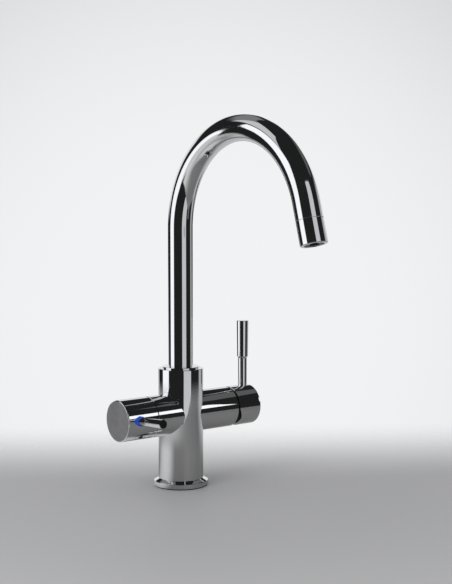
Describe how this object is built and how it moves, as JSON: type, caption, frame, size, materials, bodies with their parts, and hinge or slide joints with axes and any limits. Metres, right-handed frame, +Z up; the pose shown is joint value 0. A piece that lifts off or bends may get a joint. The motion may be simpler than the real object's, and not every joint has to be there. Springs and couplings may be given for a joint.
{
  "type": "three-way kitchen tap",
  "caption": "Swan-neck kitchen mixer with a side lever for hot and cold, a separate filtered-water knob and a dual-flow spout.",
  "frame": {"origin": "on the worktop, at the centre of the opening under the column", "axes": "+Z up along the column, spout towards -Y, mixer lever on +X, filter knob on -X"},
  "size_m": [0.1823, 0.2613, 0.4063],
  "materials": {
    "chrome": "polished",
    "satin_disc": "satin",
    "rubber": "matte",
    "white_plastic": "matte",
    "black_plastic": "satin",
    "brass": "machined",
    "steel": "machined",
    "ceramic": "lapped",
    "blue_marker": "gloss"
  },
  "bodies": {
    "tap": {"base_seal": "rubber", "base_flange": "chrome", "tap_body": "chrome", "spout_ring_nut": "chrome", "upper_bush": "white_plastic", "lower_bush": "white_plastic", "filter_tube_seal": "rubber", "hot_port_seal": "rubber", "cold_port_seal": "rubber", "mixed_port_seal": "rubber", "cartridge_base": "white_plastic", "fixed_disc": "ceramic", "cartridge_housing": "white_plastic", "cartridge_nut": "brass", "cartridge_dome": "black_plastic", "valve_seal": "rubber", "valve_body": "brass", "valve_fixed_disc": "ceramic", "valve_clip": "steel"},
    "spout": {"spout_tube": "chrome", "spout_shank": "brass", "upper_o_ring": "rubber", "lower_o_ring": "rubber", "filter_tube": "white_plastic", "tip_socket": "chrome", "aerator_collar": "chrome", "aerator_washer": "rubber", "aerator_screen": "steel", "aerator_insert": "black_plastic", "filter_nozzle": "black_plastic"},
    "mixer_turn": {"cartridge_carrier": "white_plastic", "tilt_pin": "steel"},
    "mixer_disc": {"moving_disc": "ceramic", "disc_slider": "white_plastic"},
    "handle": {"cartridge_stem": "steel", "handle_cap": "chrome", "handle_end_disc": "satin_disc", "handle_grub_screw": "steel", "lever_rod": "chrome", "lever_grip": "chrome"},
    "knob": {"filter_knob": "chrome", "knob_end_disc": "satin_disc", "knob_grub_screw": "steel", "filter_pin": "chrome", "pin_grip": "chrome", "pin_end_plug": "black_plastic", "marker_ring": "blue_marker", "valve_spindle": "brass", "spindle_o_ring": "rubber", "valve_moving_disc": "ceramic"}
  },
  "joints": [
    {"name": "spout_swivel", "type": "hinge", "parent": "tap", "child": "spout", "pos_m": [0, 0, 0.12], "axis": [0, 0, 1], "continuous": true},
    {"name": "temperature", "type": "hinge", "parent": "tap", "child": "mixer_turn", "pos_m": [0.068, 0, 0.0812], "axis": [1, 0, 0], "range_deg": [-45, 45]},
    {"name": "flow", "type": "hinge", "parent": "mixer_turn", "child": "handle", "pos_m": [0.068, 0, 0.0812], "axis": [0, 1, 0], "range_deg": [0, 18]},
    {"name": "disc_travel", "type": "slide", "parent": "mixer_turn", "child": "mixer_disc", "axis": [0, 0, 1], "range_m": [0, 0.00425]},
    {"name": "filter_turn", "type": "hinge", "parent": "tap", "child": "knob", "pos_m": [-0.065, 0, 0.0812], "axis": [1, 0, 0], "range_deg": [-90, 0]}
  ],
  "couplings": [
    {"joint": "disc_travel", "follows": "flow", "m_per_rad": 0.0134}
  ]
}
